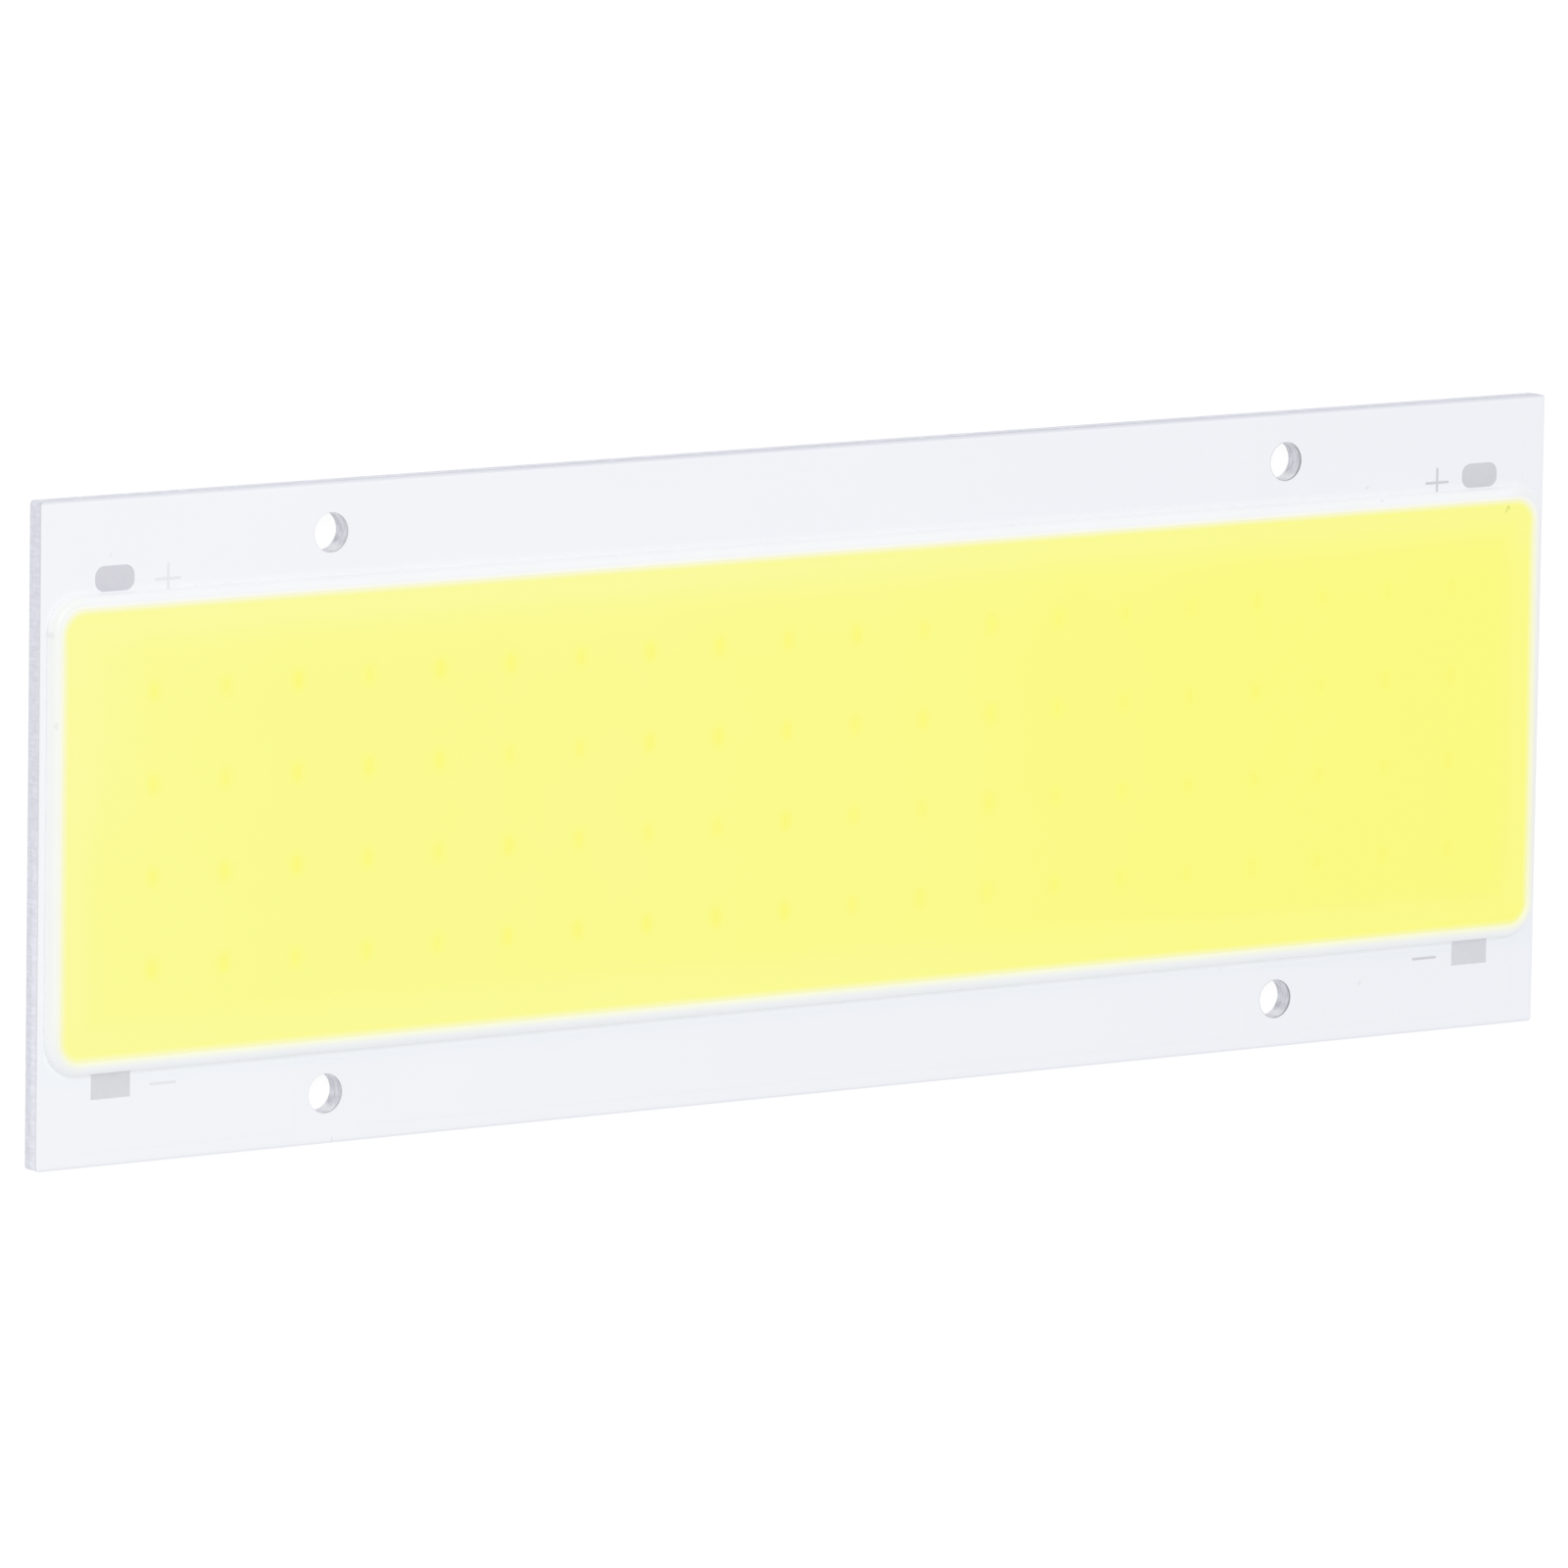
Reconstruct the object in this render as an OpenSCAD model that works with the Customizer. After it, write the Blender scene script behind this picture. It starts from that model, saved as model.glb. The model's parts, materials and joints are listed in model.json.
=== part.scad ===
// Rectangular chip-on-board light panel. A punched aluminium plate carries an insulating
// layer, a copper circuit of parallel tracks, rows of bare chips that bridge the gaps between
// the tracks, a white mask, and a phosphor filling that a bead of white silicone holds in.
// Sizes are in millimetres. The origin is the centre of the underside, +X runs along the
// board, +Y towards its positive pads and +Z out of its lit face.

/* [Board] */
// Length of the board
board_l = 140; // [100:1:200]
// Width of the board
board_w = 50; // [40:0.5:80]
// Thickness of the aluminium plate
base_t = 1.5; // [1:0.1:3]
// Thickness of the insulating layer
dielectric_t = 0.08; // [0.05:0.01:0.2]
// Thickness of the copper foil
copper_t = 0.035; // [0.018:0.001:0.105]
// Thickness of the white mask over the copper
mask_t = 0.03; // [0.02:0.005:0.05]
// Radius of the board's corners in plan
corner_r = 0.3; // [0.1:0.05:2]
// Width of the edge that the punch rolled down
roll_w = 0.4; // [0.2:0.05:0.8]
// How far the plate's rolled edge drops
roll_drop = 0.08; // [0.05:0.01:0.3]

/* [Screw holes] */
// Diameter of the screw holes
hole_d = 3; // [2:0.1:3.6]
// Distance from a short edge of the board to the holes' centres
hole_inset_x = 25.5; // [8:0.5:35]
// Distance from a long edge of the board to the holes' centres
hole_inset_y = 3.8; // [3:0.1:4.2]
// Bare land between a hole's wall and the copper
hole_land = 1.25; // [0.5:0.05:1.5]

/* [Circuit] */
// Distance from a short edge of the board to the copper
copper_inset_x = 2.1; // [0.8:0.1:4]
// Distance from a long edge of the board to the copper
copper_inset_y = 1.1; // [0.8:0.1:2.5]
// Radius of the copper's outer corners
copper_r = 0.6; // [0.2:0.1:2]
// Gap between neighbouring tracks, which each chip bridges
track_gap = 0.2; // [0.15:0.01:0.3]

/* [Solder pads] */
// Length of a solder pad
pad_l = 3.45; // [2:0.05:6]
// Width of a solder pad
pad_w = 1.92; // [1:0.02:3]
// Corner radius of the positive pads
pad_r = 0.8; // [0.1:0.05:0.95]
// Distance from a short edge of the board to a pad's centre
pad_inset = 6.4; // [5:0.1:15]
// Gap between the dam's foot and a pad
pad_gap = 0.13; // [0.02:0.01:1]
// Thickness of the tin on a pad
pad_t = 0.02; // [0.01:0.005:0.03]

/* [Chips] */
// Strings of chips side by side along the board
string_count = 20; // [2:1:24]
// Chips in series in each string
row_count = 4; // [2:1:6]
// Distance from the dam's crown to the middle of the first and last strings
string_inset = 8.34; // [3:0.02:12]
// Distance from the dam's crown to the middle of the first and last rows
row_inset = 6.87; // [3:0.01:8]
// Width of a chip, along the board
chip_w = 0.55; // [0.3:0.05:1]
// Length of a chip, across the gap
chip_l = 1.1; // [0.9:0.05:1.6]
// Thickness of a chip
chip_t = 0.15; // [0.1:0.01:0.3]
// Width of a solder joint under a chip
joint_w = 0.45; // [0.2:0.05:0.5]
// Length of a solder joint under a chip
joint_l = 0.36; // [0.2:0.02:0.36]
// Thickness of a solder joint under a chip
joint_t = 0.03; // [0.02:0.005:0.06]
// Clearance of the mask's window beside a chip
window_side = 0.15; // [0.05:0.01:0.4]
// Clearance of the mask's window at a chip's ends
window_end = 0.22; // [0.05:0.01:0.4]

/* [Dam and filling] */
// Width of the dam's foot
dam_w = 1.2; // [0.8:0.1:2]
// Height of the dam above the mask
dam_h = 0.95; // [0.8:0.05:1.2]
// Flat land between the dam's foot and the rolled short edges
dam_end_land = 0.12; // [0:0.01:3]
// Distance from a long edge of the board to the dam's foot
dam_side_inset = 7.1; // [6.5:0.1:9]
// Radius of the dam's crown at the corners
dam_r = 2.1; // [1.6:0.1:6]
// Height of the filling's middle above the mask
fill_h = 0.78; // [0.6:0.01:0.8]
// How far the filling creeps up towards the dam
creep_h = 0.09; // [0.02:0.01:0.15]
// Width of the band over which it creeps up
creep_w = 1.4; // [0.8:0.1:1.5]

/* [Hidden] */
$fn = 96;
far = 1;

// Heights of the layers' top faces above the underside
z_base = base_t;
z_dielectric = z_base + dielectric_t;
z_copper = z_dielectric + copper_t;
z_mask = z_copper + mask_t;
z_joint = z_copper + joint_t;

// The rolled edge is an arc round one centre line, which all layers share
roll_r = (pow(roll_w, 2) + pow(roll_drop, 2)) / (2 * roll_drop);
roll_z = z_base - roll_r;

hole_x = board_l / 2 - hole_inset_x;
hole_y = board_w / 2 - hole_inset_y;
copper_l = board_l - 2 * copper_inset_x;
copper_w = board_w - 2 * copper_inset_y;

// The dam's section is a circle cut off by the mask, and its crown runs round this rectangle
bead_r = (pow(dam_w / 2, 2) + pow(dam_h, 2)) / (2 * dam_h);
bead_z = dam_h - bead_r;
crown_l = board_l - 2 * (roll_w + dam_end_land) - dam_w;
crown_w = board_w - 2 * dam_side_inset - dam_w;
creep_r = (pow(creep_w, 2) + pow(creep_h, 2)) / (2 * creep_h);

pad_x = board_l / 2 - pad_inset;
pad_y = crown_w / 2 + dam_w / 2 + pad_gap + pad_w / 2;

string_pitch = (crown_l - 2 * string_inset) / (string_count - 1);
row_pitch = (crown_w - 2 * row_inset) / (row_count - 1);
window_w = chip_w + 2 * window_side;
window_l = chip_l + 2 * window_end;
joint_y = chip_l / 2 - joint_l / 2;

function string_x(n) = (n - (string_count + 1) / 2) * string_pitch;
function row_y(n) = ((row_count + 1) / 2 - n) * row_pitch;
function string_name(n) = str("led_string_", n < 10 ? "0" : "", n);
function link_name(n) = str("link_track_", n);
function joints_name(n) = str("chip_joints_row_", n);

// ---- Shared shapes ----

module rounded_rect(length, width, radius) {
    square([length - 2 * radius, width], center = true);
    square([length, width - 2 * radius], center = true);
    for (x = [-1, 1], y = [-1, 1])
        translate([x * (length / 2 - radius), y * (width / 2 - radius)])
            circle(r = radius);
}

// Section through the board's layers up to z = top, with both upper edges rolled down. It
// runs on past the board's sides and underside, which cut it off.
module rolled_section(length, top) {
    translate([-length / 2 - far, -far])
        square([length + 2 * far, far + roll_z]);
    translate([roll_w - length / 2, -far])
        square([length - 2 * roll_w, far + top]);
    for (side = [-1, 1])
        translate([side * (length / 2 - roll_w), roll_z])
            circle(r = top - roll_z);
}

module rolled_stack(top) {
    intersection() {
        rotate([90, 0, 0])
            linear_extrude(board_w + 2 * far, center = true)
                rolled_section(board_l, top);
        rotate([90, 0, 90])
            linear_extrude(board_l + 2 * far, center = true)
                rolled_section(board_w, top);
    }
}

// One layer of the board, between the rolled faces that start from z = bottom and z = top
module layer(bottom, top) {
    difference() {
        intersection() {
            linear_extrude(top)
                rounded_rect(board_l, board_w, corner_r);
            rolled_stack(top);
        }
        if (bottom > 0)
            rolled_stack(bottom);
        screw_holes();
    }
}

module at_holes() {
    for (x = [-1, 1], y = [-1, 1])
        translate([x * hole_x, y * hole_y, 0])
            children();
}

module screw_holes() {
    at_holes()
        translate([0, 0, -far])
            cylinder(d = hole_d, h = z_mask + 2 * far);
}

// Sweeps a flat section round a rounded rectangle. The section's x runs outwards from the
// rectangle's line and its y runs up.
module swept_round(length, width, radius) {
    corner_x = length / 2 - radius;
    corner_y = width / 2 - radius;
    for (turn = [0, 180])
        rotate(turn) {
            translate([-corner_x, width / 2, 0])
                rotate([90, 0, 90])
                    linear_extrude(2 * corner_x)
                        children();
            translate([length / 2, corner_y, 0])
                rotate([90, 0, 0])
                    linear_extrude(2 * corner_y)
                        children();
            translate([corner_x, corner_y, 0])
                rotate_extrude(angle = 90)
                    translate([radius, 0])
                        children();
            translate([-corner_x, corner_y, 0])
                rotate(90)
                    rotate_extrude(angle = 90)
                        translate([radius, 0])
                            children();
        }
}

// ---- Plate and circuit ----

module base_plate() {
    color("silver")
        layer(0, z_base);
}

module dielectric() {
    color("gainsboro")
        layer(z_base, z_dielectric);
}

// The whole field of copper, cut away round each screw hole and out to the long edge
module copper_field() {
    land_r = hole_d / 2 + hole_land;
    difference() {
        rounded_rect(copper_l, copper_w, copper_r);
        at_holes()
            circle(r = land_r);
        for (x = [-1, 1], y = [-1, 1])
            translate([x * hole_x - land_r, y * board_w / 2 - (y > 0 ? hole_inset_y : 0)])
                square([2 * land_r, hole_inset_y]);
    }
}

// Track n counted from the positive side, 0 to row_count. Row n of the chips bridges the
// gap between track n - 1 and track n.
module track(n) {
    top = n == 0 ? board_w / 2 : row_y(n) - track_gap / 2;
    bottom = n == row_count ? -board_w / 2 : row_y(n + 1) + track_gap / 2;
    translate([0, 0, z_dielectric])
        linear_extrude(copper_t)
            intersection() {
                copper_field();
                translate([-board_l / 2, bottom])
                    square([board_l, top - bottom]);
            }
}

module positive_rail() {
    color("peru")
        track(0);
}

module link_track(n) {
    color("peru")
        track(n);
}

module negative_rail() {
    color("peru")
        track(row_count);
}

// ---- Mask and solder pads ----

module at_chips() {
    for (s = [1 : string_count], r = [1 : row_count])
        translate([string_x(s), row_y(r), 0])
            children();
}

module pad_outline(radius) {
    if (radius > 0)
        rounded_rect(pad_l, pad_w, radius);
    else
        square([pad_l, pad_w], center = true);
}

// All four pads: the positive ones are round at the corners and the negative ones square
module pad_windows() {
    for (x = [-pad_x, pad_x]) {
        translate([x, pad_y])
            pad_outline(pad_r);
        translate([x, -pad_y])
            pad_outline(0);
    }
}

module solder_mask() {
    color("white")
        difference() {
            layer(z_dielectric, z_mask);
            for (n = [0 : row_count])
                track(n);
            translate([0, 0, z_dielectric])
                linear_extrude(z_mask)
                    at_chips()
                        square([window_w, window_l], center = true);
            translate([0, 0, z_copper])
                linear_extrude(z_mask)
                    pad_windows();
        }
}

module tinned_pad(side_x, side_y, radius) {
    color("lightgray")
        translate([side_x * pad_x, side_y * pad_y, z_copper])
            linear_extrude(pad_t)
                pad_outline(radius);
}

module positive_pad_left() {
    tinned_pad(-1, 1, pad_r);
}

module positive_pad_right() {
    tinned_pad(1, 1, pad_r);
}

module negative_pad_left() {
    tinned_pad(-1, -1, 0);
}

module negative_pad_right() {
    tinned_pad(1, -1, 0);
}

// ---- Chips ----

module chip() {
    translate([-chip_w / 2, -chip_l / 2, z_joint])
        cube([chip_w, chip_l, chip_t]);
}

// The two joints under one chip, one on each side of the gap
module joint_pair() {
    for (side = [-1, 1])
        translate([-joint_w / 2, side * joint_y - joint_l / 2, z_copper])
            cube([joint_w, joint_l, joint_t]);
}

module led_string(n) {
    color("khaki")
        for (r = [1 : row_count])
            translate([string_x(n), row_y(r), 0])
                chip();
}

module chip_joints_row(n) {
    color("lightgray")
        for (s = [1 : string_count])
            translate([string_x(s), row_y(n), 0])
                joint_pair();
}

// ---- Dam and filling ----

module bead_section() {
    intersection() {
        translate([0, bead_z])
            circle(r = bead_r);
        translate([-bead_r, 0])
            square([2 * bead_r, dam_h]);
    }
}

module dam() {
    color("snow")
        translate([0, 0, z_mask])
            swept_round(crown_l, crown_w, dam_r)
                bead_section();
}

// Section of the filling's outer band, from its level middle up its hollow curve to the
// line below the dam's crown
module creep_section() {
    difference() {
        translate([-creep_w, 0])
            square([creep_w, fill_h + creep_h]);
        translate([-creep_w, fill_h + creep_r])
            circle(r = creep_r, $fn = 4 * $fn);
    }
}

// What the filling takes up in one window of the mask, down to the copper and, in the gap
// between two tracks, down to the insulating layer
module window_plug() {
    translate([-window_w / 2, -window_l / 2, z_copper])
        cube([window_w, window_l, 2 * mask_t]);
    translate([-window_w / 2, -track_gap / 2, z_dielectric])
        cube([window_w, track_gap, copper_t + mask_t]);
}

module phosphor_fill() {
    color("khaki")
        difference() {
            union() {
                translate([0, 0, z_mask]) {
                    linear_extrude(fill_h)
                        rounded_rect(crown_l - 2 * creep_w, crown_w - 2 * creep_w, dam_r - creep_w);
                    swept_round(crown_l, crown_w, dam_r)
                        creep_section();
                }
                at_chips()
                    window_plug();
            }
            dam();
            at_chips() {
                chip();
                joint_pair();
            }
        }
}

// ---- Assembly ----

base_plate();
dielectric();
positive_rail();
for (n = [1 : row_count - 1])
    link_track(n);
negative_rail();
solder_mask();
positive_pad_left();
positive_pad_right();
negative_pad_left();
negative_pad_right();
for (n = [1 : row_count])
    chip_joints_row(n);
for (n = [1 : string_count])
    led_string(n);
dam();
phosphor_fill();
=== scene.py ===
import json
import math

import bmesh
import bpy
from mathutils import Matrix, Vector


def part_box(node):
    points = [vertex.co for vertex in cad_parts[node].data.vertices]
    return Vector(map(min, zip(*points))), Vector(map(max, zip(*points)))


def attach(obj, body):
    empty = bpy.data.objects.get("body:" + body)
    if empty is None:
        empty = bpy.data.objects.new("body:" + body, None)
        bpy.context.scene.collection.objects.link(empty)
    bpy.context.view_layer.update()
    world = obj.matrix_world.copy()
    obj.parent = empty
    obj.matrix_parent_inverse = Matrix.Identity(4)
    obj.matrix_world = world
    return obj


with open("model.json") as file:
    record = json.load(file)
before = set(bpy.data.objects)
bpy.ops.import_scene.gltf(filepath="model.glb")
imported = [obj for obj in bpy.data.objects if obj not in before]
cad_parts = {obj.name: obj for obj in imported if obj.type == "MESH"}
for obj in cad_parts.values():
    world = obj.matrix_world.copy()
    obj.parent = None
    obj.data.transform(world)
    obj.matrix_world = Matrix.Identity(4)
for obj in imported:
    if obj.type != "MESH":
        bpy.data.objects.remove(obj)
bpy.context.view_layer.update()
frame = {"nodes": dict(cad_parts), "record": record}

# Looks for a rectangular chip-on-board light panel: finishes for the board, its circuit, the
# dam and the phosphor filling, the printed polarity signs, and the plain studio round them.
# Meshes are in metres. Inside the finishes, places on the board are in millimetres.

MM = 0.001
MICRON = 0.000001

# ---- Places on the board, in millimetres ----


def middle(node):
    low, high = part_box(node)
    return (low + high) / 2 / MM


def far_corner(node):
    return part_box(node)[1] / MM


mask_top = far_corner("solder_mask").z
plate_top = far_corner("base_plate").z
edge_y = far_corner("base_plate").y
copper = far_corner("positive_rail")
dam = far_corner("dam")

STRINGS, ROWS = 20, 4
STRING_PITCH = (middle("led_string_20").x - middle("led_string_01").x) / (STRINGS - 1)
ROW_PITCH = (middle("chip_joints_row_1").y - middle("chip_joints_row_4").y) / (ROWS - 1)

DAM_WIDTH = 1.2
CROWN_RADIUS = 2.1  # of the dam's corners, along its top
CROWN_X = dam.x - DAM_WIDTH / 2
CROWN_Y = dam.y - DAM_WIDTH / 2

mounts = {mount["name"]: mount["dims"] for mount in frame["record"]["mounts"]}
HOLE_X = mounts["screw_holes"]["spacing_x_mm"] / 2
HOLE_Y = mounts["screw_holes"]["spacing_y_mm"] / 2
HOLE_RADIUS = mounts["screw_holes"]["hole_r_mm"]
HOLE_LAND = 1.25  # from a hole's wall to the copper
COPPER_CORNER = 0.6  # radius of the copper's outer corners

# Stretches over which a finish changes, each from its start to its end
WHOLE_LENGTH = (-70, 70)
HOLE_TO_HOLE = (-HOLE_X, HOLE_X)
WORN_LENGTH = (-45, -15)
LEFT_DAM = (-66, -68.6)
UPPER_DAM = (13, 16.5)
LOWER_DAM = (-13, -16.5)


# ---- Shader maths ----

# Sockets of a Mix node that mixes colours
MIX_FACTOR, MIX_FIRST, MIX_SECOND, MIX_RESULT = 0, 6, 7, 2


class Wire:
    """An output of a node that can stand in a sum: each operator adds its Math node."""

    def __init__(self, finish, socket):
        self.finish, self.socket = finish, socket

    def math(self, operation, *others):
        inputs = dict(enumerate((self,) + others))
        return self.finish.add("Math", {"operation": operation}, inputs)

    def __add__(self, other):
        return self.math("ADD", other)

    def __sub__(self, other):
        return self.math("SUBTRACT", other)

    def __rsub__(self, other):
        return (self * -1).math("ADD", other)

    def __mul__(self, other):
        return self.math("MULTIPLY", other)

    def __truediv__(self, other):
        return self.math("DIVIDE", other)

    def __pow__(self, other):
        return self.math("POWER", other)

    def __abs__(self):
        return self.math("ABSOLUTE")

    __radd__, __rmul__ = __add__, __mul__


class Finish:
    """A material, or the studio's air, in the making. Every node comes into it through add()."""

    def __init__(self, name, shelf="materials"):
        self.made = getattr(bpy.data, shelf).new(name)
        self.made.use_nodes = True
        self.tree = self.made.node_tree
        self.tree.nodes.clear()

    def add(self, kind, settings=None, inputs=None, output=0):
        """A new node: first its settings, then the values or wires of its sockets."""
        node = self.tree.nodes.new("ShaderNode" + kind)
        for name, value in (settings or {}).items():
            if name == "stops":
                self.fill_ramp(node.color_ramp, value)
            else:
                setattr(node, name, value)
        for name, value in (inputs or {}).items():
            self.feed(node.inputs[name], value)
        return Wire(self, node.outputs[output]) if node.outputs else node

    def feed(self, socket, value):
        if isinstance(value, Wire):
            self.tree.links.new(value.socket, socket)
        elif socket.type == "RGBA":
            socket.default_value = (*value, 1)
        else:
            socket.default_value = value

    @staticmethod
    def fill_ramp(ramp, stops):
        ramp.interpolation = "EASE"
        while len(ramp.elements) < len(stops):
            ramp.elements.new(0.5)
        for element, (position, colour) in zip(ramp.elements, stops):
            element.position, element.color = position, (*colour, 1)

    # -- where a point of the surface is --

    def board(self):
        """The point's place on the board in millimetres."""
        metres = self.add("TexCoord", output="Object")
        return self.add("VectorMath", {"operation": "SCALE"}, {0: metres, "Scale": 1 / MM})

    def axes(self, vector, names):
        return [self.add("SeparateXYZ", None, {0: vector}, name) for name in names]

    def stretched(self, vector, factors):
        return self.add("VectorMath", {"operation": "MULTIPLY"}, {0: vector, 1: factors})

    # -- values --

    def noise(self, vector, per_mm, detail=2.0, roughness=0.5):
        inputs = {"Vector": vector, "Scale": per_mm, "Detail": detail, "Roughness": roughness}
        return self.add("TexNoise", None, inputs)

    def fade(self, value, start, end, low=0.0, high=1.0, path="LINEAR"):
        """Goes from low to high as value goes from start to end, and stays there."""
        reach = {"From Min": start, "From Max": end, "To Min": low, "To Max": high}
        return self.add("MapRange", {"interpolation_type": path}, {"Value": value, **reach})

    def ease(self, value, start, end, low=0.0, high=1.0):
        """Fades with a soft start and a soft end."""
        return self.fade(value, start, end, low, high, "SMOOTHSTEP")

    def spread(self, noise, low=0.0, high=1.0, reach=0.2):
        """Spreads a noise, which keeps within this reach of a half, from low to high."""
        return self.fade(noise, 0.5 - reach, 0.5 + reach, low, high)

    def larger(self, a, b):
        return a.math("MAXIMUM", b)

    def smaller(self, a, b):
        return a.math("MINIMUM", b)

    def length(self, a, b):
        return (a * a + b * b) ** 0.5

    def round_box(self, x, y, half_x, half_y, radius):
        """Distance from the outline of a round-cornered rectangle, negative inside it."""
        out_x, out_y = abs(x) - (half_x - radius), abs(y) - (half_y - radius)
        corner = self.length(self.larger(out_x, 0), self.larger(out_y, 0))
        return corner + self.smaller(self.larger(out_x, out_y), 0) - radius

    def from_crown(self, x, y):
        """Distance outwards from the line along the top of the dam."""
        return self.round_box(x, y, CROWN_X, CROWN_Y, CROWN_RADIUS)

    def from_hole(self, x, y):
        """Distance from the axis of the nearest screw hole."""
        return self.length(abs(x) - HOLE_X, abs(y) - HOLE_Y)

    def in_hole(self, x, y):
        """1 on the wall of a screw hole, and 0 on the board's outer sides."""
        return self.ease(self.from_hole(x, y), HOLE_RADIUS + 0.5, HOLE_RADIUS + 0.2)

    def spot(self, x, y, at, size, angle):
        """1 inside a small soft-edged oval round a place on the board, and 0 outside it."""
        c, s = math.cos(math.radians(angle)), math.sin(math.radians(angle))
        dx, dy = x - at[0], y - at[1]
        along, across = dx * c + dy * s, dy * c - dx * s
        reach = self.length(along / (size[0] / 2), across / (size[1] / 2))
        return self.ease(reach, 1.5, 0.5)

    # -- colours --

    def blend(self, factor, first, second):
        inputs = {MIX_FACTOR: factor, MIX_FIRST: first, MIX_SECOND: second}
        return self.add("Mix", {"data_type": "RGBA"}, inputs, MIX_RESULT)

    def dim(self, colour, value):
        """The colour with each of its parts times the value."""
        grey = self.add("CombineColor", None, {0: value, 1: value, 2: value})
        settings = {"data_type": "RGBA", "blend_type": "MULTIPLY"}
        inputs = {MIX_FACTOR: 1.0, MIX_FIRST: colour, MIX_SECOND: grey}
        return self.add("Mix", settings, inputs, MIX_RESULT)

    def specked(self, colour, x, y, tint, specks):
        """The colour with small specks on it, each with its place, size, angle and strength."""
        for at, size, angle, strength in specks:
            colour = self.blend(self.spot(x, y, at, size, angle) * strength, colour, tint)
        return colour

    # -- surface --

    def bump(self, height, microns):
        return self.add("Bump", None, {"Height": height, "Distance": microns * MICRON})

    def done(self, **inputs):
        """Closes the finish with one surface shader, whose sockets are named in plain words."""
        sockets = {name.replace("_", " ").title(): value for name, value in inputs.items()}
        surface = self.add("BsdfPrincipled", None, sockets)
        self.add("OutputMaterial", None, {"Surface": surface})
        return self.made


# ---- Dam and filling ----

# The dam's whites. The paler feet and the left slope are painted light, set against the shade of
# the creases at the dam's foot and under the filling's rim.
WHITE_SILICONE = (0.945, 0.95, 0.955)
UPPER_FOOT, LEFT_FOOT, LOWER_FOOT = (0.995, 0.995, 0.998), (0.985, 1.0, 1.0), (0.955, 0.98, 1.0)
CROWN, LOWER_CROWN = (0.905, 0.912, 0.93), (0.915, 0.937, 0.955)
LEFT_SLOPE, LEFT_CROWN = (0.95, 0.968, 0.98), (0.908, 0.922, 0.895)
YELLOW_EDGE = (0.955, 0.95, 0.36)

# The filling's body from its left end to its right end, and what it turns to at its rim and
# over the chips
FILLING_BODY = [
    (0.0, (0.952, 0.945, 0.26)), (0.35, (0.954, 0.946, 0.2515)), (0.52, (0.955, 0.947, 0.2395)),
    (0.69, (0.957, 0.949, 0.2135)), (0.82, (0.958, 0.949, 0.2015)), (1.0, (0.958, 0.949, 0.191))]
PALE_FILLING, DEEP_FILLING = (0.955, 0.955, 0.93), (0.965, 0.93, 0.0)
CHIP_MARK_X, CHIP_MARK_Y = 0.54, 0.78  # half the size of the soft mark over a chip

DAM_SPECKS = [
    ((-69.48, 15.17), (0.35, 0.4), 0, 0.2), ((-69.16, 8.44), (0.3, 0.5), 0, 0.2),
    ((53.4, 17.68), (0.36, 0.2), 0, 0.2)]
FILLING_SPECKS = [((65.84, 16.2), (0.6, 0.2), 62, 0.4), ((66.0, 16.36), (0.36, 0.16), -38, 0.55)]
SILICONE_SPECK, FILLING_SPECK = (0.55, 0.55, 0.58), (0.56, 0.6, 0.1)


def whitening(f, x, y):
    """How far the yellow has given way to white where the filling thins out on the dam. The
    dispensed outline is a little skew, and its corners aren't all equally round."""
    left, right = f.fade(y, -14, 14, -0.03, -0.08), f.fade(y, -4, 14, -0.12, 0.05)
    lower, upper = f.ease(x, 25, 60, 0.0, 0.08), f.fade(x, 45, -65, 0.08, 0.13)
    skew_x, skew_y = f.ease(x, -50, 50, left, right), f.ease(y, -10, 10, lower, upper)
    lower_radius, upper_radius = f.fade(x, -60, 60, 2.1, 2.2), f.fade(x, -60, 60, 2.4, 2.2)
    radius = f.fade(y, -16, 16, lower_radius, upper_radius)
    rim = f.round_box(x + skew_x, y + skew_y, CROWN_X, CROWN_Y, radius)
    yellow_end = f.ease(y, *UPPER_DAM, -1.06, -0.88)
    white_start = f.ease(x, -66, -68, 0.0, 0.11) + f.ease(y, *UPPER_DAM, 0.22, 0.12)
    return f.ease((rim - yellow_end) / (white_start - yellow_end), 0, 1)


def painted_shade_sides(f, x, y):
    """1 along the lower and the right side of the dam, where painted shade greys the silicone."""
    return f.larger(f.ease(y, *LOWER_DAM), f.ease(x, 65.5, 68))


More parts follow.
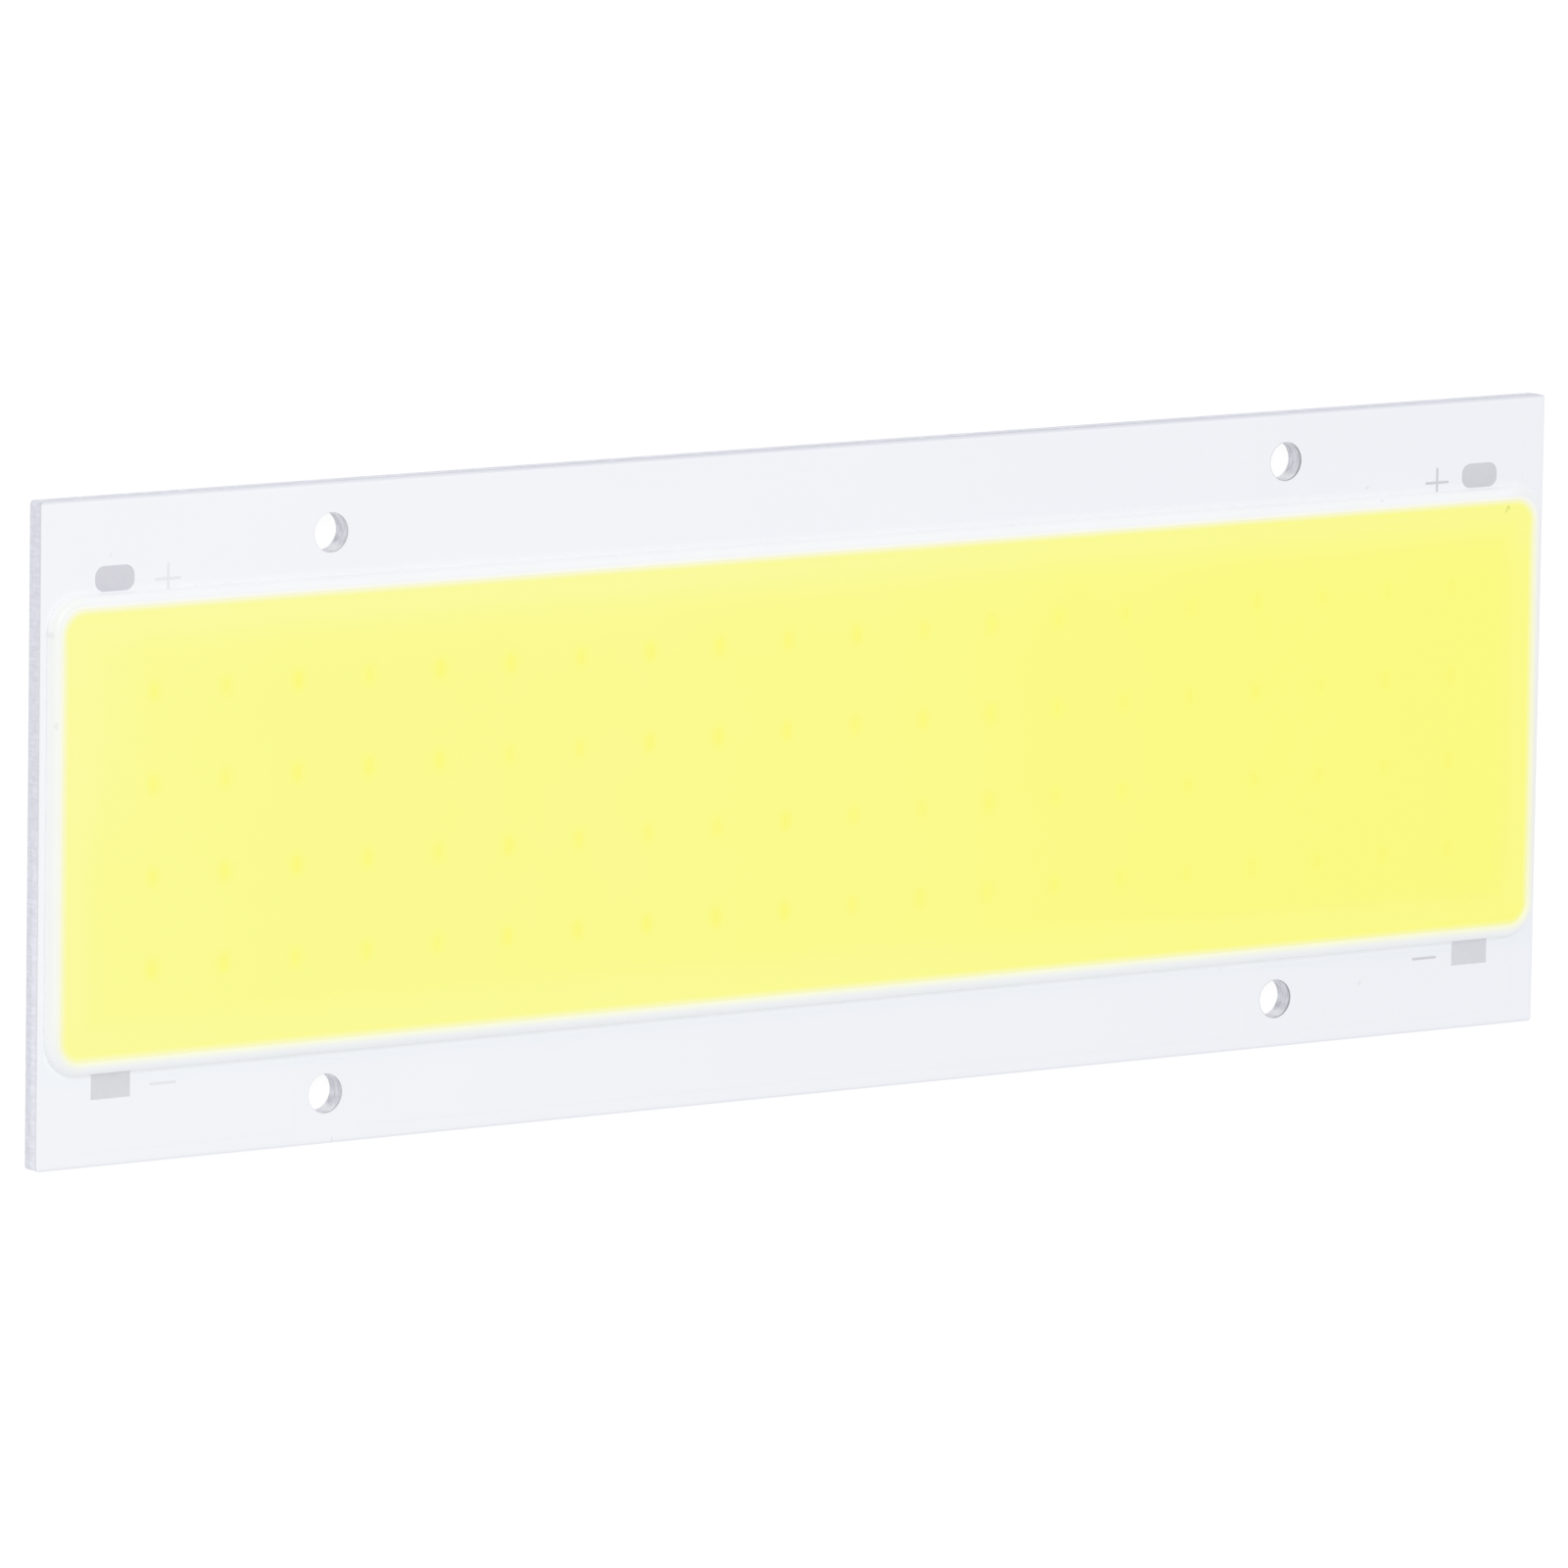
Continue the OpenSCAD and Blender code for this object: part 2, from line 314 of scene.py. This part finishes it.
def dam_finish():
    """White silicone, tinted by the filling along its inner side. Painted light makes it whitest
    at its foot and under the filling's rim, set against the shade of the creases there, and its
    lower and right sides carry painted shade."""
    f = Finish("white_silicone")
    board = f.board()
    x, y, z = f.axes(board, "XYZ")
    distance = f.from_crown(x, y)
    cloud = f.noise(board, 0.25)
    ripple = f.noise(f.stretched(board, (0.5, 0.5, 1.0)), 0.6, 1.0)

    left = f.ease(x, *LEFT_DAM)
    # Painted light: the feet, the left slope and the edge under the filling's rim are paler than
    # the crown.
    foot = f.blend(f.larger(f.ease(y, 14, 17), left), WHITE_SILICONE, UPPER_FOOT)
    foot = f.blend(f.ease(x, -68.4, -69.2) * f.ease(y, 17.4, 16.6), foot, LEFT_FOOT)
    high = f.ease(z, mask_top + 0.35, mask_top + 0.75)
    crown = f.blend(left, CROWN, f.blend(high, LEFT_SLOPE, LEFT_CROWN))
    clear_of_creases = f.ease(z, mask_top + 0.15, mask_top + 0.6) * f.ease(distance, -0.35, -0.05)
    lower_side = f.blend(clear_of_creases, LOWER_FOOT, LOWER_CROWN)
    white = f.blend(f.ease(y, -14, -16.5), f.blend(clear_of_creases, foot, crown), lower_side)
    # Painted shade along the dam's lower and right sides.
    white = f.dim(white, 1.0 - painted_shade_sides(f, x, y) * f.ease(distance, 0.5, 0.2) * 0.045)

    untinted = f.larger(whitening(f, x, y), f.ease(distance, -0.1, 0.3))
    colour = f.blend(untinted, YELLOW_EDGE, white)
    colour = f.specked(colour, x, y, SILICONE_SPECK, DAM_SPECKS)
    return f.done(base_color=f.dim(colour, 0.985 + cloud * 0.03),
                  roughness=f.spread(cloud, 0.38, 0.48), normal=f.bump(ripple, microns=12))


def chip_marks(f, x, y):
    """Soft marks of uneven strength over the chips. The board is divided into one cell a chip,
    and a mark lies in each cell's middle."""
    across, along = x / STRING_PITCH + STRINGS / 2, y / ROW_PITCH + ROWS / 2
    cell_x, cell_y = across.math("FLOOR"), along.math("FLOOR")
    dx = (across - cell_x - 0.5) * STRING_PITCH
    dy = (along - cell_y - 0.5) * ROW_PITCH
    mark = ((dx / CHIP_MARK_X) ** 2.0 * -1 - (abs(dy) / CHIP_MARK_Y) ** 2.6).math("EXPONENT")
    cell = f.add("CombineXYZ", None, {0: cell_x, 1: cell_y})
    strength = f.add("TexWhiteNoise", {"noise_dimensions": "3D"}, {"Vector": cell})
    half_x, half_y = STRINGS / 2 * STRING_PITCH, ROWS / 2 * ROW_PITCH
    inside = f.ease(abs(x), half_x, half_x - 0.1) * f.ease(abs(y), half_y, half_y - 0.1)
    return mark * inside * (0.75 + strength * 0.5)


def filling_finish():
    """Yellow phosphor silicone: the chips show through as soft darker marks, and the body pales
    towards the dam. It carries a painted sheen near its upper edge at the left end, and painted
    shade on its rim along the dam's lower and right sides."""
    f = Finish("phosphor_silicone")
    board = f.board()
    x, y = f.axes(board, "XY")
    distance = f.from_crown(x, y)
    cloud, grain = f.noise(board, 0.12, 3.0), f.noise(board, 7.0, 3.0)
    sag = f.noise(board, 0.5)

    pale = f.ease(distance, -4.5, -1.2) * f.ease(y, *LOWER_DAM, 0.075, 0.042)
    pale = pale * (1 - f.ease(x, 62, 67) * f.ease(abs(y), 15, 12) * 0.3)
    # Paler towards the left end, and more along the upper edge there, which is a painted sheen.
    left_end, upper_sheen = f.ease(x, -48, -67), f.ease(y, 8, 16) * f.ease(x, -62, -56)
    pale = pale + left_end * 0.022 + upper_sheen * 0.02
    upper_left = f.ease(x, -60.5, -64.5) * f.ease(y, -4, 7) * f.ease(distance, -1.2, -3.6)
    creep_line = f.ease(distance, -1.3, -0.95) * f.ease(distance, -0.65, -0.9)
    pale = pale + upper_left * 0.042 - creep_line * 0.012
    pale = pale + (cloud - 0.5) * 0.03 + (grain - 0.5) * 0.03

    body = f.add("ValToRGB", {"stops": FILLING_BODY}, {0: f.fade(x, -CROWN_X, CROWN_X)})
    colour = f.blend(pale, body, PALE_FILLING)
    marks = chip_marks(f, x, y) * f.ease(x, -30, 70, 0.282, 0.122)
    colour = f.blend(marks, colour, DEEP_FILLING)
    colour = f.specked(colour, x, y, FILLING_SPECK, FILLING_SPECKS)
    colour = f.blend(whitening(f, x, y), colour, WHITE_SILICONE)
    # Painted shade on the filling's rim along the dam's lower and right sides.
    shaded_rim = painted_shade_sides(f, x, y) * f.ease(distance, -0.65, -0.05)
    return f.done(base_color=f.dim(colour, 1.0 - shaded_rim * 0.095),
                  roughness=f.spread(sag, 0.4, 0.48),
                  normal=f.bump(sag + grain * 0.15, microns=20))


# ---- Board ----

# The mask's colours, each at the board's left end and at its right end. Their darkening towards
# the right end is painted shade, for light falling off away from the lamp's side.
OPEN_MASK = (0.885, 0.894, 0.93), (0.862, 0.872, 0.915)
SHADED_MASK = (0.866, 0.891, 0.924), (0.843, 0.869, 0.909)
# The last colour here darkens the holes' mouths, partly as painted shade.
DAM_LIT_MASK, THIN_MASK, CUT_AND_SHADE_MASK = (0.948, 0.962, 0.975), (0.7, 0.71, 0.78), (0.42, 0.42, 0.46)

DUST = (0.5, 0.49, 0.5)
MASK_SPECKS = [
    ((52.54, 18.66), (0.35, 0.25), 30, 0.2), ((52.8, -20.6), (0.4, 0.22), 70, 0.2),
    ((39.11, -18.38), (0.3, 0.2), 100, 0.2), ((-63.99, 20.71), (0.16, 0.42), -25, 0.2),
    ((-43.86, -24.76), (0.16, 0.5), 0, 0.2)]

# Bare aluminium, each pair from its dull to its bright parts
ROLLED_METAL = (0.66, 0.67, 0.69), (0.78, 0.79, 0.81)
SHEARED_METAL = (0.73, 0.74, 0.81), (0.82, 0.83, 0.90)
DRILLED_METAL = (0.7, 0.705, 0.755), (0.92, 0.925, 0.97)
# The first colour here is a painted reflection on the holes' walls.
GLINT_METAL, WORN_RIM = (0.97, 0.972, 0.99), (0.52, 0.52, 0.6)


def mask_finish():
    """Satin white ink over copper, whose edges stand out a little, with a few dust specks. The
    dam lights it on three sides and shades it below, and it is thin over the rolled edges."""
    f = Finish("white_mask")
    board = f.board()
    x, y = f.axes(board, "XY")
    distance = f.from_crown(x, y)
    cloud, grain = f.noise(board, 0.06), f.noise(board, 5.0, 3.0)
    peel = f.noise(board, 1.4, 3.0)

    # Painted shade: the mask darkens from the left end towards the right end.
    length = f.fade(x, *WHOLE_LENGTH)
    below_dam = f.ease(y, -19.8, -18.4) * f.ease(y, -10, -17)
    colour = f.blend(below_dam, f.blend(length, *OPEN_MASK), f.blend(length, *SHADED_MASK))
    colour = f.dim(colour, 0.985 + cloud * 0.02 + grain * 0.012)
    colour = f.specked(colour, x, y, DUST, MASK_SPECKS)

    near_dam = f.ease(distance, 1.25, 0.65) * f.ease(y, 17, -17, 0.35, 0.8)
    near_dam = near_dam * f.ease(x, -69.55, -69.4, 0.25, 1.0)
    near_dam = f.smaller(near_dam + f.ease(distance, 0.85, 0.62) * 0.2, 1)
    colour = f.blend(near_dam * 0.85, colour, DAM_LIT_MASK)

    upper_roll = f.ease(y, edge_y - 0.24, edge_y - 0.08) * f.ease(x, *WORN_LENGTH, 0.65, 0.85)
    lower_roll = f.ease(y, 0.22 - edge_y, 0.06 - edge_y) * 0.38
    colour = f.blend(upper_roll + lower_roll, colour, THIN_MASK)
    # A dark ring at each hole's mouth: partly a burr at the drilled edge, partly painted shade,
    # deeper towards the right-hand holes.
    cut_and_shade = f.ease(f.from_hole(x, y), HOLE_RADIUS + 0.05, HOLE_RADIUS + 0.01)
    colour = f.blend(cut_and_shade * f.fade(x, *HOLE_TO_HOLE, 0.35, 0.9), colour, CUT_AND_SHADE_MASK)

    # The copper under the ink ends near the board's edges and at the cleared lands of the holes
    past_copper = f.round_box(x, y, copper.x, copper.y, COPPER_CORNER)
    past_hole = f.length(abs(abs(x) - HOLE_X), f.smaller(abs(y) - HOLE_Y, 0))
    on_land = (past_hole - (HOLE_RADIUS + HOLE_LAND)) * -1
    step = f.ease(f.larger(past_copper, on_land), 0.12, -0.12)
    return f.done(base_color=colour, roughness=f.spread(peel, 0.42, 0.52),
                  normal=f.bump(step * 0.9 + peel * 0.25 + grain * 0.1, microns=18))


def sheared_edge(f, x, y, z, board, streaks, torn):
    """Colour of the board's punched sides, burnished on the left and chipped along the top."""
    colour = f.blend(f.spread(streaks, reach=0.15), *SHEARED_METAL)
    burnished = f.ease(y, 8, -12) * f.ease(z, 0.5, 1.0) * f.ease(x, -69.5, -69.9)
    colour = f.dim(colour, 0.95 + f.ease(torn, 0.4, 0.6) * 0.06 + burnished * 0.1)
    chipped = f.noise(f.stretched(board, (1.0, 0.2, 0.2)), 0.9, 3.0, 0.6)
    rim = f.ease(y, edge_y - 0.3, edge_y - 0.1) * f.ease(z, 0.85, 1.15)
    rim = rim * f.ease(x, *WORN_LENGTH, 0.45, 1.0) * f.ease(chipped, 0.3, 0.6, 0.55, 1.0)
    return f.blend(rim * 0.75, colour, WORN_RIM)


def drilled_wall(f, x, y, z, board, torn):
    """Colour of the holes' walls: rings left by the drill, painted reflections in bands, and
    painted shade low on one side and at the top under the mask."""
    rings = f.noise(f.stretched(board, (0.5, 0.5, 2.6)), 2.4, 4.0, 0.6)
    colour = f.blend(f.spread(rings, reach=0.15), *DRILLED_METAL)
    colour = f.dim(colour, 0.94 + f.ease(torn, 0.42, 0.58) * 0.09)
    # From -1 on the wall's side towards the board's middle to 1 on its outer side
    lean = (y - y.math("SIGN") * HOLE_Y) / f.from_hole(x, y)
    # Painted reflections: brighter bands at set places round each wall.
    painted_glints = f.ease(lean, -0.62, -0.82) * f.ease(lean, -1.0, -0.92) + f.ease(lean, 0.7, 0.86) * 0.3
    colour = f.blend(painted_glints * 0.75, colour, GLINT_METAL)
    # Painted shade at the top of the wall under the mask, at the right-hand holes and none at the
    # left.
    shade_under_mask = f.ease(z, plate_top - 0.13, plate_top - 0.03) * f.fade(x, *HOLE_TO_HOLE, 0.0, 0.28)
    colour = f.dim(colour, 1.0 - shade_under_mask * f.ease(lean, -0.85, -0.5))
    # Painted shade low on the wall, on the side towards the board's middle.
    low_wall_shade = f.ease(lean, -0.2, -0.42) * f.ease(lean, -0.66, -0.54) * f.ease(z, 0.75, 0.45)
    return f.dim(colour, 1.0 - low_wall_shade * 0.14)


def plate_finish():
    """Bare aluminium: rolled grain below, sheared edges, and drilled walls in the holes."""
    f = Finish("bare_aluminium")
    board = f.board()
    x, y, z = f.axes(board, "XYZ")
    facing = f.add("NewGeometry", output="Normal")
    upright = f.ease(abs(f.axes(facing, "Z")[0]), 0.8, 0.4)
    grain = f.noise(f.stretched(board, (0.15, 6.0, 1.0)), 2.0, 4.0)
    streaks = f.noise(f.stretched(board, (1.0, 1.0, 0.12)), 4.5, 4.0, 0.65)
    torn = f.noise(f.stretched(board, (1.0, 1.0, 2.0)), 1.3, 3.0)

    sheared = sheared_edge(f, x, y, z, board, streaks, torn)
    sides = f.blend(f.in_hole(x, y), sheared, drilled_wall(f, x, y, z, board, torn))
    height = grain * (1 - upright) + (streaks + torn * 0.5) * upright
    return f.done(base_color=f.blend(upright, f.blend(grain, *ROLLED_METAL), sides),
                  metallic=f.fade(upright, 0, 1, 0.9, 0.2),
                  roughness=f.fade(upright * 0.7 + streaks * 0.3, 0, 1, 0.32, 0.55),
                  normal=f.bump(height, microns=22))


def resin_finish():
    """The filled resin between plate and copper, of which only the edge shows. In the holes it
    carries painted shade, deeper towards the right-hand holes."""
    f = Finish("insulating_resin")
    board = f.board()
    x, y = f.axes(board, "XY")
    filler = f.noise(board, 9.0, 3.0)
    colour = f.blend(filler, (0.66, 0.67, 0.68), (0.78, 0.79, 0.8))
    # Painted shade in the holes, deeper towards the right-hand holes.
    colour = f.dim(colour, 1.0 - f.in_hole(x, y) * f.fade(x, *HOLE_TO_HOLE, 0.34, 0.5))
    return f.done(base_color=colour, roughness=f.spread(filler, 0.55, 0.7),
                  normal=f.bump(filler, microns=8))


def ink_finish():
    """Grey printing ink, a little uneven, and paler towards the board's left end."""
    f = Finish("grey_ink")
    board = f.board()
    x, = f.axes(board, "X")
    body = f.noise(board, 6.0, 3.0)
    colour = f.blend(f.spread(body), (0.56, 0.56, 0.61), (0.62, 0.62, 0.67))
    colour = f.blend(f.fade(x, -50, 50, 0.75, 0.1), colour, (0.86, 0.865, 0.9))
    return f.done(base_color=colour, roughness=f.spread(body, 0.5, 0.6),
                  normal=f.bump(body, microns=3))


# ---- Circuit ----


def foil_finish():
    """Copper foil, a little darker where it has tarnished."""
    f = Finish("copper_foil")
    board = f.board()
    tarnish, grain = f.noise(board, 0.4, 3.0), f.noise(f.stretched(board, (0.3, 5, 1)), 3.0, 3.0)
    colour = f.blend(f.fade(tarnish, 0.35, 0.7), (0.86, 0.5, 0.36), (0.6, 0.33, 0.24))
    return f.done(base_color=f.dim(colour, 0.94 + grain * 0.1), metallic=1.0,
                  roughness=f.spread(tarnish, 0.25, 0.4), normal=f.bump(grain, microns=3))


def tin_finish():
    """Dull tin on the solder pads, with a faint crystal mottle."""
    f = Finish("tinned_copper")
    board = f.board()
    x, y = f.axes(board, "XY")
    mottle, cloud = f.noise(board, 3.2, 4.0), f.noise(board, 0.9)
    crystals = f.add("TexVoronoi", {"feature": "SMOOTH_F1"}, {"Vector": board, "Scale": 2.6})
    right = f.fade(x, -63, 63)
    upper = f.blend(right, (0.646, 0.641, 0.69), (0.635, 0.64, 0.678))
    lower = f.blend(right, (0.673, 0.68, 0.704), (0.668, 0.673, 0.712))
    colour = f.blend(f.fade(y, -1, 1), lower, upper)
    colour = f.dim(colour, 0.955 + mottle * 0.06 + cloud * 0.06 + crystals * 0.02)
    return f.done(base_color=colour, metallic=0.75, roughness=f.spread(mottle, 0.5, 0.62),
                  normal=f.bump(mottle + crystals * 0.4, microns=9))


def joint_finish():
    """Solder under the chips."""
    f = Finish("chip_solder")
    mottle = f.noise(f.board(), 12.0, 3.0)
    colour = f.blend(mottle, (0.62, 0.62, 0.65), (0.76, 0.76, 0.78))
    return f.done(base_color=colour, metallic=1.0, roughness=f.spread(mottle, 0.3, 0.45),
                  normal=f.bump(mottle, microns=4))


def chip_finish():
    """Polished sapphire over the thin light-emitting layers, which tint it unevenly."""
    f = Finish("chip_sapphire")
    film = f.noise(f.board(), 2.2)
    colour = f.blend(f.spread(film, reach=0.15), (0.56, 0.66, 0.62), (0.7, 0.72, 0.78))
    return f.done(base_color=colour, roughness=f.spread(film, 0.08, 0.18),
                  normal=f.bump(film, microns=1), coat_weight=0.3, coat_roughness=0.05)


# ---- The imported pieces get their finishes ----


def dress(material, *nodes):
    for name in nodes:
        piece = frame["nodes"][name]
        if not piece.material_slots:
            piece.data.materials.append(None)
        for holder in piece.material_slots:
            holder.link = "OBJECT"
            holder.material = material


dress(plate_finish(), "base_plate")
dress(resin_finish(), "dielectric")
dress(foil_finish(), "positive_rail", "negative_rail", *(f"link_track_{n}" for n in (1, 2, 3)))
dress(mask_finish(), "solder_mask")
dress(tin_finish(), *(f"{sign}_pad_{side}" for sign in ("positive", "negative")
                      for side in ("left", "right")))
dress(joint_finish(), *(f"chip_joints_row_{n}" for n in range(1, ROWS + 1)))
dress(chip_finish(), *(f"led_string_{n:02d}" for n in range(1, STRINGS + 1)))
dress(dam_finish(), "dam")
dress(filling_finish(), "phosphor_fill")


def put(name, data):
    """A new object of this name in the scene."""
    thing = bpy.data.objects.new(name, data)
    bpy.context.scene.collection.objects.link(thing)
    return thing


def put_mesh(name, mesh, material):
    data = bpy.data.meshes.new(name)
    mesh.to_mesh(data)
    mesh.free()
    data.materials.append(material)
    return put(name, data)


# ---- Printed polarity signs ----

INK = ink_finish()
INK_THICKNESS = 0.014
STROKE = 0.2
CAP_STEPS = 8  # faces round the end of an arm
# Height of each level of the ink, and its width there, as shares of the full size
INK_LEVELS = [(0.0, 1.0), (0.55, 1.0), (0.85, 0.93), (1.0, 0.8)]
# Angle of each arm in degrees, and its length in millimetres
PLUS = [(0, 1.14), (90, 1.2), (180, 1.16), (270, 0.8)]
MINUS = [(0, 1.19), (180, 1.19)]


def sign_outline(arms, half_stroke, shorten):
    """Outline of a sign whose arms leave its centre at these angles with these lengths, each
    arm round at its end."""
    points = []
    for angle, reach in arms:
        turn = Matrix.Rotation(math.radians(angle), 2)
        if len(arms) > 2:
            points.append(turn @ Vector((half_stroke, -half_stroke)))
        cap = Vector((reach - shorten - half_stroke, 0))
        for step in range(CAP_STEPS + 1):
            sweep = math.radians(-90 + step * 180 / CAP_STEPS)
            points.append(turn @ (cap + half_stroke * Vector((math.cos(sweep), math.sin(sweep)))))
    return points


def printed_sign(name, pad, offset, arms):
    """A sign beside its pad, as a thin layer of ink with a softly rounded shoulder, standing on
    the mask."""
    centre = middle(pad).xy + Vector(offset)
    mesh = bmesh.new()
    loops = []
    for rise, width in INK_LEVELS:
        height = mask_top + INK_THICKNESS * rise
        outline = sign_outline(arms, STROKE / 2 * width, STROKE / 2 * (1 - width))
        loops.append([mesh.verts.new(Vector((*(centre + point), height)) * MM)
                      for point in outline])
    for lower, upper in zip(loops, loops[1:]):
        for i in range(len(lower)):
            j = (i + 1) % len(lower)
            mesh.faces.new((lower[i], lower[j], upper[j], upper[i]))
    mesh.faces.new(loops[-1])
    mesh.faces.new(loops[0][::-1])
    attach(put_mesh(name, mesh, INK), "root")


printed_sign("plus_sign_left", "positive_pad_left", (4.68, -0.32), PLUS)
printed_sign("plus_sign_right", "positive_pad_right", (-4.18, -0.35), PLUS)
printed_sign("minus_sign_left", "negative_pad_left", (4.61, -0.19), MINUS)
printed_sign("minus_sign_right", "negative_pad_right", (-4.44, -0.14), MINUS)


# ---- Studio ----

FLOOR_REACH = 6.0
FLOOR_GAP = 0.00003
FLOOR_COLOUR = (0.82, 0.82, 0.82)
FLOOR_SHADE, FLOOR_GLOW = (0.15, 0.15, 0.15), 0.88  # of the floor that the eye sees
AIR_STRENGTH = 0.87
WHITE = (1, 1, 1)


def white_for_eye(f):
    """1 for rays from the camera, and for those that a shiny or clear surface sends on."""
    rays = [f.add("LightPath", output=name)
            for name in ("Is Camera Ray", "Is Glossy Ray", "Is Transmission Ray")]
    return f.larger(f.larger(rays[0], rays[1]), rays[2])


def studio_floor():
    """A plain white floor. To the eye it is lifted almost to white, and keeps a faint shadow."""
    f = Finish("studio_floor")
    lit = f.add("BsdfDiffuse", None, {"Color": FLOOR_COLOUR})
    shade = f.add("BsdfDiffuse", None, {"Color": FLOOR_SHADE})
    glow = f.add("Emission", None, {"Color": WHITE, "Strength": FLOOR_GLOW})
    seen = f.add("AddShader", None, {0: shade, 1: glow})
    surface = f.add("MixShader", None, {0: white_for_eye(f), 1: lit, 2: seen})
    f.add("OutputMaterial", None, {"Surface": surface})
    mesh = bmesh.new()
    bmesh.ops.create_grid(mesh, x_segments=2, y_segments=2, size=FLOOR_REACH)
    floor = put_mesh("studio_floor", mesh, f.made)
    floor.location.z = -FLOOR_GAP


def studio_air():
    """Even white light from all round, seen by the eye as plain white."""
    f = Finish("studio_air", "worlds")
    bpy.context.scene.world = f.made
    level = f.fade(white_for_eye(f), 0, 1, AIR_STRENGTH, 1.0)
    air = f.add("Background", None, {"Color": WHITE, "Strength": level})
    f.add("OutputWorld", None, {"Surface": air})


def soft_lamp(name, place, size, watts):
    """A round soft lamp that looks at the middle of the board."""
    lamp = bpy.data.lights.new(name, "AREA")
    lamp.shape, lamp.size, lamp.energy = "DISK", size, watts
    holder = put(name, lamp)
    holder.location = place
    holder.rotation_euler = (-Vector(place)).to_track_quat("-Z", "Y").to_euler()


def product_camera(eye, aim, up, lens):
    data = bpy.data.cameras.new("product_camera")
    data.lens, data.sensor_width, data.clip_start, data.clip_end = lens, 36, 0.05, 50
    camera = put("product_camera", data)
    back = (Vector(eye) - Vector(aim)).normalized()
    right = Vector(up).cross(back).normalized()
    turn = Matrix((right, back.cross(right), back)).transposed().to_4x4()
    camera.matrix_world = Matrix.Translation(eye) @ turn
    bpy.context.scene.camera = camera


bpy.context.scene.view_settings.view_transform = "Standard"
studio_floor()
studio_air()
soft_lamp("key_lamp", place=(-0.42, 0.56, 1.04), size=0.5, watts=2.6)
product_camera(eye=(-0.657483, 0.166948, 0.929477), aim=(-0.002859, -0.000768, 0.001645),
               up=(0.071509, 0.989148, -0.128346), lens=345.28)
